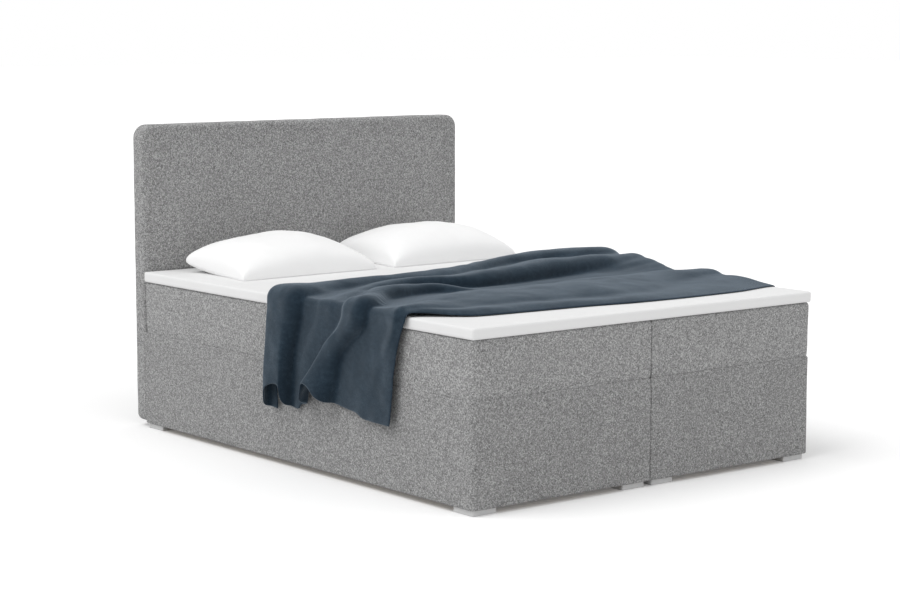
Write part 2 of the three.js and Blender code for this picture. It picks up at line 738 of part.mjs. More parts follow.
// Throw: a cloth over the topper that hangs down both sides. Its form follows fold lines that run
// across the bed, listed from the front edge to the rear edge. At each station a line has its place
// along the bed, as a share of boxLength, and its height off the bed, as a share of throwFoldDepth.
// Station -1 is the left hem, 0 the topper's left edge, 1 its right edge and 2 the right hem. A
// line's drop is how far its left end hangs, as a share of throwDrop. A crest can have rounded
// flanks: its turns are how far, in degrees, the cloth turns down on that side at each station.
const stationShares = [-1, -0.5, 0, 0.12, 0.25, 0.4, 0.55, 0.7, 0.85, 1, 2];
const foldLines = [
  // front edge
  {
    placeShares: [0.211, 0.196, 0.166, 0.111, 0.097, 0.084, 0.067, 0.063, 0.066, 0.087, 0.098],
    heightShares: [0.1, 0.1, 0.07, 0, 0, 0, 0, 0, 0, 0, 0.05],
    dropShare: 0.93,
  },
  // shoulder behind the front edge
  {
    placeShares: [0.221, 0.204, 0.174, 0.126, 0.114, 0.101, 0.086, 0.091, 0.12, 0.178, 0.182],
    heightShares: [0.11, 0.15, 0.23, 0.21, 0.2, 0.17, 0.15, 0.11, 0.12, 0.24, 0.17],
    dropShare: 0.93,
  },
  // front fold
  {
    placeShares: [0.293, 0.23, 0.181, 0.206, 0.226, 0.216, 0.226, 0.254, 0.269, 0.244, 0.24],
    heightShares: [0.17, 0.25, 0.38, 0.46, 0.51, 0.51, 0.5, 0.46, 0.42, 0.39, 0.33],
    dropShare: 0.89,
  },
  // rear of the front fold
  {
    placeShares: [0.326, 0.269, 0.216, 0.25, 0.278, 0.264, 0.274, 0.288, 0.293, 0.269, 0.264],
    heightShares: [0.12, 0.15, 0.2, 0.28, 0.35, 0.38, 0.38, 0.38, 0.39, 0.38, 0.31],
    dropShare: 0.87,
  },
  // valley behind the front fold
  {
    placeShares: [0.355, 0.336, 0.257, 0.312, 0.336, 0.327, 0.331, 0.346, 0.341, 0.326, 0.326],
    heightShares: [0.05, 0.03, 0.01, 0.01, 0.03, 0.05, 0.05, 0.06, 0.09, 0.15, 0.07],
    dropShare: 0.85,
  },
  // front of the pleat
  {
    placeShares: [0.396, 0.338, 0.283, 0.35, 0.374, 0.343, 0.353, 0.37, 0.365, 0.365, 0.36],
    heightShares: [0.93, 0.8, 0.68, 0.65, 0.53, 0.1, 0.07, 0.09, 0.12, 0.25, 0.17],
    dropShare: 0.71,
    frontTurns: [120, 120, 120, 125, 120, 80, 60, 50, 40, 30, 30],
    frontRows: 2,
  },
  // rear of the pleat
  {
    placeShares: [0.417, 0.361, 0.303, 0.374, 0.396, 0.355, 0.362, 0.379, 0.379, 0.384, 0.379],
    heightShares: [0.93, 0.78, 0.6, 0.55, 0.4, 0.1, 0.07, 0.09, 0.15, 0.4, 0.3],
    dropShare: 0.69,
    rearTurns: [115, 105, 80, 60, 60, 50, 40, 40, 30, 30, 30],
    rearRows: 1,
  },
  // valley behind the pleat
  {
    placeShares: [0.446, 0.396, 0.336, 0.391, 0.409, 0.367, 0.377, 0.396, 0.406, 0.408, 0.403],
    heightShares: [0.15, 0.15, 0.17, 0.33, 0.23, 0.07, 0.07, 0.1, 0.28, 0.53, 0.42],
    dropShare: 0.85,
  },
  // middle fold
  {
    placeShares: [0.47, 0.432, 0.37, 0.41, 0.427, 0.384, 0.398, 0.418, 0.43, 0.454, 0.446],
    heightShares: [0.07, 0.1, 0.17, 0.45, 0.61, 0.71, 0.86, 0.91, 0.85, 0.71, 0.66],
    dropShare: 0.98,
    frontTurns: [40, 40, 40, 60, 100, 120, 120, 115, 80, 30, 30],
    frontRows: 2,
  },
  // valley before the rear fold
  {
    placeShares: [0.489, 0.48, 0.451, 0.473, 0.485, 0.473, 0.49, 0.521, 0.533, 0.502, 0.494],
    heightShares: [0.04, 0.04, 0.06, 0.12, 0.23, 0.3, 0.35, 0.4, 0.45, 0.57, 0.38],
    dropShare: 0.98,
  },
  // rear fold
  {
    placeShares: [0.499, 0.493, 0.486, 0.516, 0.521, 0.521, 0.533, 0.562, 0.578, 0.54, 0.538],
    heightShares: [0.75, 0.68, 0.55, 0.51, 0.5, 0.53, 0.61, 0.76, 0.84, 0.86, 0.75],
    dropShare: 0.76,
    frontTurns: [90, 88, 80, 60, 60, 80, 100, 105, 100, 60, 60],
    frontRows: 1,
  },
  // rear of the rear fold
  {
    placeShares: [0.543, 0.543, 0.545, 0.552, 0.547, 0.55, 0.566, 0.61, 0.639, 0.614, 0.6],
    heightShares: [0.68, 0.6, 0.42, 0.3, 0.28, 0.3, 0.4, 0.47, 0.57, 0.65, 0.62],
    dropShare: 0.82,
    rearTurns: [110, 90, 60, 60, 60, 60, 60, 60, 60, 60, 60],
    rearRows: 1,
  },
  // rear edge
  {
    placeShares: [0.533, 0.54, 0.557, 0.566, 0.571, 0.576, 0.605, 0.658, 0.682, 0.72, 0.711],
    heightShares: [0.1, 0.1, 0.1, 0.03, 0, 0, 0, 0, 0, 0, 0.05],
    dropShare: 1.02,
  },
];

// A smooth curve through a table's values at the stations, with no overshoot between them
function readStations(valueShares, at) {
  const rise = stationShares.slice(1).map((station, step) => (
    (valueShares[step + 1] - valueShares[step]) / (station - stationShares[step])
  ));
  const slopeAt = (station) => {
    if (station === 0) return rise[0];
    if (station === rise.length) return rise[rise.length - 1];
    const [before, after] = [rise[station - 1], rise[station]];
    return before * after > 0 ? (2 * before * after) / (before + after) : 0;
  };
  const next = Math.max(stationShares.findIndex((station) => station >= at), 1);
  const from = next - 1;
  const width = stationShares[next] - stationShares[from];
  const t = (at - stationShares[from]) / width;
  const leave = slopeAt(from) * width;
  const arrive = slopeAt(next) * width;
  const change = valueShares[next] - valueShares[from];
  return valueShares[from] + leave * t + (3 * change - 2 * leave - arrive) * t ** 2
    + (leave + arrive - 2 * change) * t ** 3;
}

// Where the cloth would lie across the bed with no folds: each step's place, its way out and its
// station, for a line with this drop
function clothSteps(dropShare) {
  const bend = topperEdgeRadius + runningGap;
  const bendX = topperHalfWidth - topperEdgeRadius;
  const bendZ = topperTop - topperEdgeRadius;
  const steps = [];
  const addHang = (sign, drop, station) => {
    const place = new THREE.Vector3(sign * (bendX + bend), 0, bendZ - drop);
    steps.push({ place, out: new THREE.Vector3(sign, 0, 0), station });
  };
  const addBend = (sign, share) => {
    const angle = share * Math.PI / 2;
    const out = new THREE.Vector3(sign * Math.cos(angle), 0, Math.sin(angle));
    const place = new THREE.Vector3(sign * bendX, 0, bendZ).addScaledVector(out, bend);
    steps.push({ place, out, station: sign < 0 ? 0 : 1 });
  };
  for (let step = 0; step < hangSteps; step += 1) {
    const share = 1 - step / hangSteps;
    addHang(-1, throwDrop * dropShare * share, -share);
  }
  for (let step = 0; step < bendSteps; step += 1) addBend(-1, step / bendSteps);
  for (let step = 0; step <= acrossSteps; step += 1) {
    const share = step / acrossSteps;
    const place = new THREE.Vector3(bendX * (2 * share - 1), 0, bendZ + bend);
    steps.push({ place, out: new THREE.Vector3(0, 0, 1), station: share });
  }
  for (let step = bendSteps - 1; step >= 0; step -= 1) addBend(1, step / bendSteps);
  for (let step = 1; step <= rightHangSteps; step += 1) {
    const share = step / rightHangSteps;
    addHang(1, throwRightDrop * share, 1 + share);
  }
  return steps;
}

// A fold line's places along the bed and heights off it at each step across
function lineSteps({ placeShares, heightShares, dropShare }) {
  return clothSteps(dropShare).map(({ place, out, station }) => ({
    place,
    out,
    station,
    along: readStations(placeShares, station) * boxLength,
    height: readStations(heightShares, station) * throwFoldDepth,
  }));
}

// Rows down one flank of a fold, crest first. Up to a quarter turn the flank spreads towards the
// valley line, and past that it is a tube that overhangs the valley.
function foldFlank(crest, valley, direction, turns, rowCount) {
  return Array.from({ length: rowCount }, (unused, row) => crest.map((top, column) => {
    const floor = valley[column];
    const turn = THREE.MathUtils.degToRad(readStations(turns, top.station));
    const drop = Math.max(top.height - floor.height, 0);
    const spread = flankReachShare * Math.abs(floor.along - top.along);
    const tube = Math.max((drop * flankDropShare) / (1 - Math.cos(turn)), leastFlankReach);
    const curl = THREE.MathUtils.clamp((turn - Math.PI / 2) / flankCurlTurn, 0, 1);
    const reach = THREE.MathUtils.lerp(spread, tube, curl);
    const way = (row + 1) / rowCount;
    const angle = turn * way;
    const fall = (flankDropShare * (1 - Math.cos(angle))) / (1 - Math.cos(turn));
    return {
      place: top.place.clone().lerp(floor.place, flankFollowShare * (1 - (1 - way) ** 2)),
      out: top.out,
      station: top.station,
      along: top.along + direction * reach * Math.sin(angle),
      height: top.height - drop * fall,
    };
  }));
}

// The cloth's underside as a grid: rows from its front edge to its rear edge, columns across the bed
function throwUnderside() {
  const lines = foldLines.map(lineSteps);
  const rows = foldLines.flatMap(({ frontTurns, frontRows, rearTurns, rearRows }, step) => {
    const line = lines[step];
    const front = frontTurns ? foldFlank(line, lines[step - 1], -1, frontTurns, frontRows) : [];
    const rear = rearTurns ? foldFlank(line, lines[step + 1], 1, rearTurns, rearRows) : [];
    return [...front.reverse(), line, ...rear];
  });
  return rows.map((row) => row.map(({ place, out, along, height }) => (
    place.clone().setY(along).addScaledVector(out, height)
  )));
}

function throwGeometry() {
  const lower = throwUnderside();
  const rowCount = lower.length;
  const columnCount = lower[0].length;
  const upper = lower.map((row, a) => row.map((point, b) => {
    const across = row[Math.min(b + 1, columnCount - 1)].clone().sub(row[Math.max(b - 1, 0)]);
    const rear = lower[Math.min(a + 1, rowCount - 1)][b];
    const along = rear.clone().sub(lower[Math.max(a - 1, 0)][b]);
    return point.clone().addScaledVector(across.cross(along).normalize(), throwThickness);
  }));
  const under = rowCount * columnCount;
  const indices = [];
  for (let a = 0; a < rowCount - 1; a += 1) {
    for (let b = 0; b < columnCount - 1; b += 1) {
      const corner = a * columnCount + b;
      const across = corner + columnCount;
      indices.push(corner, corner + 1, across + 1, corner, across + 1, across);
      indices.push(under + corner, under + across + 1, under + corner + 1);
      indices.push(under + corner, under + across, under + across + 1);
    }
  }
  closeRim(indices, rowCount, columnCount, under, true);
  const positions = [...upper.flat(), ...lower.flat()].flatMap((point) => point.toArray());
  const geometry = new THREE.BufferGeometry();
  geometry.setAttribute('position', new THREE.Float32BufferAttribute(positions, 3));
  geometry.setIndex(indices);
  return geometry;
}

const bed = new THREE.Group();
for (const [side, sign] of [['left', -1], ['right', 1]]) {
  addChest(bed, side, sign);
  addFeet(bed, side, sign);
  addLid(bed, side, sign);
  addFittings(bed, side, sign);
}
addHeadboard(bed);
addTopper(bed);
addPillows(bed);
addPiece(bed, 'throw', throwGeometry(), 'throw');

const outlineBox = new THREE.Box3().setFromObject(bed, true);
const outlineCentre = outlineBox.getCenter(new THREE.Vector3());
bed.position.set(-outlineCentre.x, -outlineCentre.y, -outlineBox.min.z);

const group = new THREE.Group();
group.add(bed);
export default group;
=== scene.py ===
import math

import bpy
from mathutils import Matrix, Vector, noise


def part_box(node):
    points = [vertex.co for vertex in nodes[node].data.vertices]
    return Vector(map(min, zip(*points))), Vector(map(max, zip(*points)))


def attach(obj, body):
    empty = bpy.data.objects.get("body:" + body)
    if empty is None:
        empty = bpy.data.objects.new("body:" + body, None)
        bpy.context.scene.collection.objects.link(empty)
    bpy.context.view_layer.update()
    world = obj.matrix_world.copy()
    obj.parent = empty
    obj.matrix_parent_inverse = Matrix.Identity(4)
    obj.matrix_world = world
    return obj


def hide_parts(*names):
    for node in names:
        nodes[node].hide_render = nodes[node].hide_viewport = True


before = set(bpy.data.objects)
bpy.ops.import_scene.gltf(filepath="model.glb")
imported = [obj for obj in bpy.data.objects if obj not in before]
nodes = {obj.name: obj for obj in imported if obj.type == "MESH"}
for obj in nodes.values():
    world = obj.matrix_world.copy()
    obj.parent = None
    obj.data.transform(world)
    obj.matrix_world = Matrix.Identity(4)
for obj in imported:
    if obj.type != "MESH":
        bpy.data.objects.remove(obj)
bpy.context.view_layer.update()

# Box spring bed: two upholstered storage chests, their sprung lids, headboard, topper, pillows and
# throw. Metres, +Z up, +Y from the foot end to the headboard.

SIDES = {"left": -1, "right": 1}

# The bed's own reference: its centre line and the plane of its foot end
headboard_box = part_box("headboard_upholstery")
CENTRE_X = (headboard_box[0].x + headboard_box[1].x) / 2
FOOT_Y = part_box("left_chest_cover")[0].y

# Camera at the photograph's viewpoint
CAMERA_FROM_BED = (-5.29642, -5.55728, 1.6282)
CAMERA_TILT = math.radians(82.773)
CAMERA_HEADING = math.radians(-38.383)
CAMERA_LENS = 89.02
CAMERA_SENSOR = 36
CAMERA_REACH = 200

camera_data = bpy.data.cameras.new("camera")
camera_data.lens = CAMERA_LENS
camera_data.sensor_width = CAMERA_SENSOR
camera_data.clip_end = CAMERA_REACH
camera = bpy.data.objects.new("camera", camera_data)
camera.location = (CENTRE_X + CAMERA_FROM_BED[0], FOOT_Y + CAMERA_FROM_BED[1], CAMERA_FROM_BED[2])
camera.rotation_euler = (CAMERA_TILT, 0, CAMERA_HEADING)
bpy.context.scene.collection.objects.link(camera)
bpy.context.scene.camera = camera
bpy.context.scene.view_settings.view_transform = "Standard"


# Finishes. Noise and cell scales are counted per metre, and bump depths are in metres.

CELL_SMOOTHNESS = 0.4


class Finish:
    """A material that is built up from procedural nodes."""

    def __init__(self, name, **constants):
        self.material = bpy.data.materials.new(name)
        self.material.use_nodes = True
        self.tree = self.material.node_tree
        self.shader = self.tree.nodes["Principled BSDF"]
        for socket, value in constants.items():
            self.shader.inputs[socket.replace("_", " ")].default_value = value
        self.place = self.tree.nodes.new("ShaderNodeTexCoord").outputs["Object"]

    def node(self, kind, inputs, **properties):
        """A new node with its properties set, and its inputs linked or set to a value."""
        node = self.tree.nodes.new(kind)
        for name, value in properties.items():
            setattr(node, name, value)
        for socket, value in inputs.items():
            if isinstance(value, bpy.types.NodeSocket):
                self.tree.links.new(value, node.inputs[socket])
            else:
                node.inputs[socket].default_value = value
        return node

    def stretched(self, scale):
        """The place with a scale of its own along each axis."""
        return self.node("ShaderNodeMapping", {"Vector": self.place, "Scale": scale}).outputs[0]

    def noise(self, scale, detail=2, roughness=0.5, place=None, distortion=0):
        """Cloudy noise, as a value."""
        inputs = {"Vector": place or self.place, "Scale": scale, "Detail": detail}
        inputs.update({"Roughness": roughness, "Distortion": distortion})
        return self.node("ShaderNodeTexNoise", inputs).outputs["Fac"]

    def cells(self, scale, output="Distance", place=None, smooth=False):
        """A pattern of cells, as the distance from their middles or a colour of each."""
        inputs = {"Vector": place or self.place, "Scale": scale}
        if smooth:
            inputs["Smoothness"] = CELL_SMOOTHNESS
        feature = "SMOOTH_F1" if smooth else "F1"
        return self.node("ShaderNodeTexVoronoi", inputs, feature=feature).outputs[output]

    def sum(self, *weighted):
        """The weighted sum of value sockets, given as (weight, socket)."""
        total = None
        for weight, socket in weighted:
            inputs = {0: socket, 1: weight, 2: 0 if total is None else total}
            total = self.node("ShaderNodeMath", inputs, operation="MULTIPLY_ADD").outputs[0]
        return total

    def ramp(self, value, *stops):
        """The colour at a value, from stops given as (place, colour)."""
        node = self.node("ShaderNodeValToRGB", {0: value})
        elements = node.color_ramp.elements
        while len(elements) < len(stops):
            elements.new(0.5)
        for element, (place, colour) in zip(elements, stops):
            element.position = place
            element.color = (*colour, 1)
        return node.outputs["Color"]

    def bump(self, height, depth, strength):
        """The surface's direction after a relief of this depth."""
        return self.node(
            "ShaderNodeBump", {"Height": height, "Distance": depth, "Strength": strength}
        ).outputs["Normal"]

    def wear(self, **sockets):
        """Links the shader's sockets and gives the finished material."""
        for socket, value in sockets.items():
            self.tree.links.new(value, self.shader.inputs[socket.replace("_", " ")])
        return self.material


def grey(value):
    return (value, value, value)


def boucle(name, tone):
    finish = Finish(name, Roughness=0.95, Sheen_Weight=0.12, Sheen_Roughness=0.6)
    finish.shader.inputs["Specular IOR Level"].default_value = 0.1
    curls = finish.cells(210, smooth=True)
    loops = finish.cells(430)
    yarn = finish.cells(250, "Color")
    speck = finish.noise(300, 2)
    tuft = finish.noise(520, 2)
    cloud = finish.noise(110, 3, 0.6)
    shade = finish.sum((0.48, yarn), (0.34, speck), (0.2, tuft), (0.2, cloud), (-0.25, curls))
    colour = finish.ramp(
        shade, (0.16, grey(0.1 * tone)), (0.50, grey(0.30 * tone)), (0.84, grey(0.64 * tone))
    )
    relief = finish.sum((-0.9, curls), (-0.4, loops), (0.5, tuft))
    return finish.wear(Base_Color=colour, Normal=finish.bump(relief, 0.0022, 0.8))


def knit(name, light, dark):
    finish = Finish(name, Roughness=0.85, Sheen_Weight=0.1)
    finish.shader.inputs["Specular IOR Level"].default_value = 0.2
    thread = finish.noise(1, 2, 0.5, finish.stretched((900, 380, 900)))
    cross = finish.noise(1, 2, 0.5, finish.stretched((380, 900, 380)))
    cloud = finish.noise(6, 3)
    shade = finish.sum((0.3, thread), (0.3, cross), (0.4, cloud))
    colour = finish.ramp(shade, (0.3, dark), (0.7, light))
    relief = finish.sum((0.5, thread), (0.5, cross))
    return finish.wear(Base_Color=colour, Normal=finish.bump(relief, 0.0004, 0.5))


def fleece():
    finish = Finish("fleece", Roughness=1.0, Sheen_Weight=0.42, Sheen_Roughness=0.46)
    finish.shader.inputs["Sheen Tint"].default_value = (0.76, 0.88, 1, 1)
    finish.shader.inputs["Specular IOR Level"].default_value = 0.05
    pile = finish.noise(620, 2, 0.6)
    brushed = finish.noise(1, 4, 0.65, finish.stretched((70, 40, 70)))
    cloud = finish.noise(9, 3, 0.6)
    shade = finish.sum((0.5, pile), (0.25, brushed), (0.25, cloud))
    colour = finish.ramp(
        shade,
        (0.34, (0.008, 0.016, 0.025)),
        (0.5, (0.0155, 0.0275, 0.0415)),
        (0.68, (0.043, 0.067, 0.091)),
    )
    relief = finish.sum((0.6, pile), (0.4, brushed))
    return finish.wear(Base_Color=colour, Normal=finish.bump(relief, 0.0012, 0.6))


def chipboard():
    finish = Finish("chipboard", Roughness=0.8)
    flake = finish.cells(160, "Color", finish.stretched((1, 1, 2.2)))
    dust = finish.noise(420, 3, 0.7)
    cloud = finish.noise(14, 2)
    shade = finish.sum((0.5, flake), (0.35, dust), (0.15, cloud))
    colour = finish.ramp(
        shade, (0.2, (0.26, 0.2, 0.14)), (0.5, (0.42, 0.34, 0.25)), (0.8, (0.58, 0.49, 0.37))
    )
    return finish.wear(Base_Color=colour, Normal=finish.bump(finish.sum((1, dust)), 0.0003, 0.5))


def plywood():
    finish = Finish("plywood", Roughness=0.65)
    grain = finish.noise(1, 5, 0.6, finish.stretched((90, 5, 300)))
    pore = finish.noise(1, 2, 0.5, finish.stretched((700, 30, 700)))
    figure = finish.noise(1, 3, 0.5, finish.stretched((9, 1.2, 380)), 0.6)
    shade = finish.sum((0.4, grain), (0.2, pore), (0.4, figure))
    colour = finish.ramp(
        shade, (0.3, (0.40, 0.25, 0.13)), (0.5, (0.60, 0.42, 0.25)), (0.7, (0.74, 0.57, 0.38))
    )
    return finish.wear(Base_Color=colour, Normal=finish.bump(grain, 0.0003, 0.4))


def foot_plastic():
    finish = Finish("foot_plastic", Roughness=0.38)
    grain = finish.noise(1500, 2)
    cloud = finish.noise(30, 3)
    colour = finish.ramp(finish.sum((0.5, grain), (0.5, cloud)), (0.3, grey(0.56)), (0.7, grey(0.66)))
    return finish.wear(Base_Color=colour, Normal=finish.bump(grain, 0.0001, 0.4))


def metal(name, dark, light, roughness):
    finish = Finish(name, Metallic=1.0, Roughness=roughness)
    drawn = finish.noise(1, 3, 0.6, finish.stretched((250, 250, 1400)))
    cloud = finish.noise(45, 3)
    shade = finish.sum((0.4, drawn), (0.6, cloud))
    return finish.wear(
        Base_Color=finish.ramp(shade, (0.3, dark), (0.7, light)),
        Normal=finish.bump(drawn, 0.00006, 0.5),
    )


def painted(name, dark, light):
    finish = Finish(name, Roughness=0.3)
    skin = finish.noise(900, 2)
    cloud = finish.noise(25, 3)
    colour = finish.ramp(finish.sum((0.4, skin), (0.6, cloud)), (0.3, dark), (0.7, light))
    return finish.wear(Base_Color=colour, Normal=finish.bump(skin, 0.00008, 0.5))


def felt(name, dark, light):
    finish = Finish(name, Roughness=0.95)
    fibre = finish.noise(1, 3, 0.6, finish.stretched((500, 500, 160)))
    dots = finish.cells(420)
    shade = finish.sum((0.6, fibre), (0.5, dots))
    return finish.wear(
        Base_Color=finish.ramp(shade, (0.3, dark), (0.7, light)),
        Normal=finish.bump(shade, 0.0003, 0.6),
    )


def foam():
    finish = Finish("foam", Roughness=0.95)
    cell = finish.cells(520)
    cloud = finish.noise(12, 2)
    shade = finish.sum((0.5, cell), (0.5, cloud))
    colour = finish.ramp(shade, (0.3, (0.70, 0.64, 0.44)), (0.7, (0.86, 0.81, 0.62)))
    return finish.wear(Base_Color=colour, Normal=finish.bump(cell, 0.0006, 0.7))


# One bouclé in two copies: the chests' copy is darker, which is painted shade on the lower boxes, and
# the lids' and headboard's copy is a little lighter.
BOUCLE = boucle("boucle", 1.02)
SHADED_CHEST_BOUCLE = boucle("chest_boucle_painted_shade", 0.92)
TOPPER_CLOTH = knit("topper_cloth", grey(0.82), grey(0.78))
PILLOW_COTTON = knit("pillow_cotton", grey(0.95), grey(0.92))
FLEECE = fleece()
CHIPBOARD = chipboard()
PLYWOOD = plywood()
FOOT_PLASTIC = foot_plastic()
FITTING_STEEL = metal("fitting_steel", grey(0.42), grey(0.62), 0.34)
STRUT_CHROME = metal("strut_chrome", grey(0.62), grey(0.74), 0.12)
STRUT_BLACK = painted("strut_black", grey(0.012), grey(0.022))
BACK_CLOTH = felt("back_cloth", grey(0.02), grey(0.05))
POCKET_CLOTH = felt("pocket_cloth", grey(0.62), grey(0.78))
FOAM = foam()

# Finishes of the pieces that show as their CAD meshes, by the ending of their names
CAD_FINISHES = {
    "_panel": CHIPBOARD,
    "_chest_floor": CHIPBOARD,
    "_base_board": PLYWOOD,
    "_foot": FOOT_PLASTIC,
    "_base_plate": FITTING_STEEL,
    "_link": FITTING_STEEL,
    "_lid_bracket": FITTING_STEEL,
    "_strut_cylinder": STRUT_BLACK,
    "_strut_rod": STRUT_CHROME,
    "_spring_core": POCKET_CLOTH,
    "_foam_pad": FOAM,
    "_back_cloth": BACK_CLOTH,
}
for name, node in nodes.items():
    for ending, finish in CAD_FINISHES.items():
        if name.endswith(ending):
            node.data.materials.clear()
            node.data.materials.append(finish)


# Making of pieces

# Angles in degrees up to which an edge is shaded smooth
EDGE_ANGLE = 40
SMOOTH_ALL_OVER = 180

# Steps of a corner and of a rounded edge, the least radius of a corner that is drawn in, and the
# share of a flat face that rows cover
CORNER_STEPS = 6
ROUND_STEPS = 5
LEAST_RADIUS = 0.0004
FLAT_REACH = 0.97

# How far one step of a seed moves the noise along each axis
SEED_SHIFT = (1, 2.7, 1.3)


def choose(piece):
    bpy.ops.object.select_all(action="DESELECT")
    piece.select_set(True)
    bpy.context.view_layer.objects.active = piece


def make_piece(name, points, faces, finish, smooth_angle=EDGE_ANGLE):
    mesh = bpy.data.meshes.new(name)
    mesh.from_pydata(points, [], faces)
    mesh.validate()
    mesh.materials.append(finish)
    piece = bpy.data.objects.new(name, mesh)
    bpy.context.scene.collection.objects.link(piece)
    choose(piece)
    bpy.ops.object.shade_smooth_by_angle(angle=math.radians(smooth_angle))
    return piece


def finish_modifiers(piece):
    choose(piece)
    for modifier in list(piece.modifiers):
        bpy.ops.object.modifier_apply(modifier=modifier.name)


def plan_ring(half_x, half_y, radii, inset, steps, corner_steps=CORNER_STEPS):
    """Points round a rectangle with round corners, drawn in by inset, counterclockwise. Steps
    counts the parts of a side along x and of a side along y."""
    signs = [(1, 1), (-1, 1), (-1, -1), (1, -1)]
    arcs = []
    for corner, (sign_x, sign_y) in enumerate(signs):
        round_by = max(radii[corner] - inset, LEAST_RADIUS)
        centre = Vector((sign_x * (half_x - inset - round_by), sign_y * (half_y - inset - round_by)))
        turns = [(corner + step / corner_steps) * math.pi / 2 for step in range(corner_steps + 1)]
        arcs.append([centre + round_by * Vector((math.cos(turn), math.sin(turn))) for turn in turns])
    ring = []
    for corner, arc in enumerate(arcs):
        following = arcs[(corner + 1) % 4][0]
        count = steps[corner % 2]
        ring.extend(arc)
        ring.extend(arc[-1].lerp(following, step / count) for step in range(1, count))
    return ring


def half_radii(side, outer, inner):
    """Corner radii of a box half, whose inner side stands against the other half."""
    return (outer, inner, inner, outer) if SIDES[side] > 0 else (inner, outer, outer, inner)


def skin_faces(ring_count, ring_size, is_loop):
    """Faces between rings. A loop of rings closes on itself, and other ends are capped."""
    faces = []
    for band in range(ring_count if is_loop else ring_count - 1):
        low, high = band * ring_size, (band + 1) % ring_count * ring_size
        for step in range(ring_size):
            after = (step + 1) % ring_size
            faces.append((low + step, low + after, high + after, high + step))
    if not is_loop:
        faces.append(tuple(reversed(range(ring_size))))
        faces.append(tuple(range((ring_count - 1) * ring_size, ring_count * ring_size)))
    return faces


def round_over(radius, top):
    """Profile points (inset, height) of a quarter round from a wall to a flat top."""
    turns = [step / ROUND_STEPS * math.pi / 2 for step in range(ROUND_STEPS + 1)]
    return [(radius * (1 - math.cos(turn)), top - radius * (1 - math.sin(turn))) for turn in turns]


def round_under(radius):
    """Profile points of a quarter round from a flat underside at height 0 to a wall."""
    return [(inset, -height) for inset, height in reversed(round_over(radius, 0))]


def levels(low, high, count):
    """Evenly spaced values between two, without the ends."""
    return [low + (high - low) * step / count for step in range(1, count)]


def flat_face(edge, half, height, count):
    """Profile points from a rounded edge almost to the middle of a flat face."""
    return [(edge + share * (half - edge) * FLAT_REACH, height) for share in levels(0, 1, count)]


def wave(place, size, seed):
    """A smooth random value of about -1 to 1, in waves of the given size."""
    return 2 * noise.noise(place / size + Vector([shift * seed for shift in SEED_SHIFT]))


def box_frame(low, high):
    """Middle of a box at its underside, its half width and half length, and its height."""
    middle = Vector(((low.x + high.x) / 2, (low.y + high.y) / 2, low.z))
    return middle, (high.x - low.x) / 2, (high.y - low.y) / 2, high.z - low.z


# Upholstery of the chests and of the lids over them

# Depth and size of the padding's waves, the parts of a box half's sides, and the radius of its
# corners at the centre seam
COVER_WAVE = 0.0012
COVER_WAVE_SIZE = 0.11
BOX_STEPS = (40, 100)
SEAM_RADIUS = 0.005

CHEST_CORNER = 0.012
CHEST_EDGE = 0.005
CHEST_WALL = 0.012
CHEST_ROWS = 20
CHEST_SEEDS = {"left": 3, "right": 5}

# The lid's cover is drawn in by the bulge at its lower edge and swells out up to the bulge's height
LID_CORNER = 0.014
LID_EDGE = 0.014
LID_WALL = 0.008
LID_BULGE = 0.004
LID_BULGE_HEIGHT = 0.060
LID_BULGE_ROWS = 6
LID_WALL_ROWS = 8
LID_TOP_ROWS = 14
LID_SEEDS = {"left": 7, "right": 11}


def upholstery_points(rings, centre, seed, wave_depth=COVER_WAVE):
    """The rings' points in place, drawn slightly in and out as fabric over padding is."""
    points = []
    for ring, height, looseness in rings:
        for point in ring:
            place = Vector((point.x, point.y, height)) + centre
            outward = Vector((point.x, point.y, 0)).normalized()
            depth = wave_depth * looseness * wave(place, COVER_WAVE_SIZE, seed)
            points.append(place + outward * depth)
    return points


def chest_cover(side):
    centre, half_x, half_y, height = box_frame(*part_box(f"{side}_chest_cover"))
    wall = [(0, level) for level in levels(CHEST_EDGE, height - CHEST_EDGE, CHEST_ROWS)]
    profile = [(CHEST_WALL, height), (CHEST_WALL, 0), *round_under(CHEST_EDGE)]
    profile += [*wall, *round_over(CHEST_EDGE, height)]
    radii = half_radii(side, CHEST_CORNER, SEAM_RADIUS)
    rings = []
    for inset, level in profile:
        looseness = 0 if inset > 0 else 1
        rings.append((plan_ring(half_x, half_y, radii, inset, BOX_STEPS), level, looseness))
    faces = skin_faces(len(rings), len(rings[0][0]), True)
    points = upholstery_points(rings, centre, CHEST_SEEDS[side])
    # The chest wears the darker copy of the bouclé, which is painted shade.
    piece = make_piece(f"{side}_chest_upholstery", points, faces, SHADED_CHEST_BOUCLE)
    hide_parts(f"{side}_chest_cover")
    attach(piece, "root")


def lid_cover(side):
    centre, half_x, half_y, height = box_frame(*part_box(f"{side}_lid_cover"))
    radii = half_radii(side, LID_CORNER, SEAM_RADIUS)
    inner = LID_BULGE + LID_WALL
    swell = [
        (LID_BULGE * (1 - level / LID_BULGE_HEIGHT) ** 2, level)
        for level in levels(0, LID_BULGE_HEIGHT, LID_BULGE_ROWS)
    ]
    wall = [(0, level) for level in levels(LID_BULGE_HEIGHT, height - LID_EDGE, LID_WALL_ROWS)]
    profile = [(inner, height - LID_WALL), (inner, 0), (LID_BULGE, 0), *swell, (0, LID_BULGE_HEIGHT)]
    profile += [*wall, *round_over(LID_EDGE, height)]
    profile += flat_face(LID_EDGE, half_x, height, LID_TOP_ROWS)
    rings = []
    for inset, level in profile:
        looseness = 0 if level == 0 or inset >= LID_EDGE or inset == inner else 1
        rings.append((plan_ring(half_x, half_y, radii, inset, BOX_STEPS), level, looseness))
    faces = skin_faces(len(rings), len(rings[0][0]), False)
    points = upholstery_points(rings, centre, LID_SEEDS[side])
    piece = make_piece(f"{side}_lid_upholstery", points, faces, BOUCLE)
    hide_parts(f"{side}_lid_cover")
    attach(piece, f"{side}_lid")


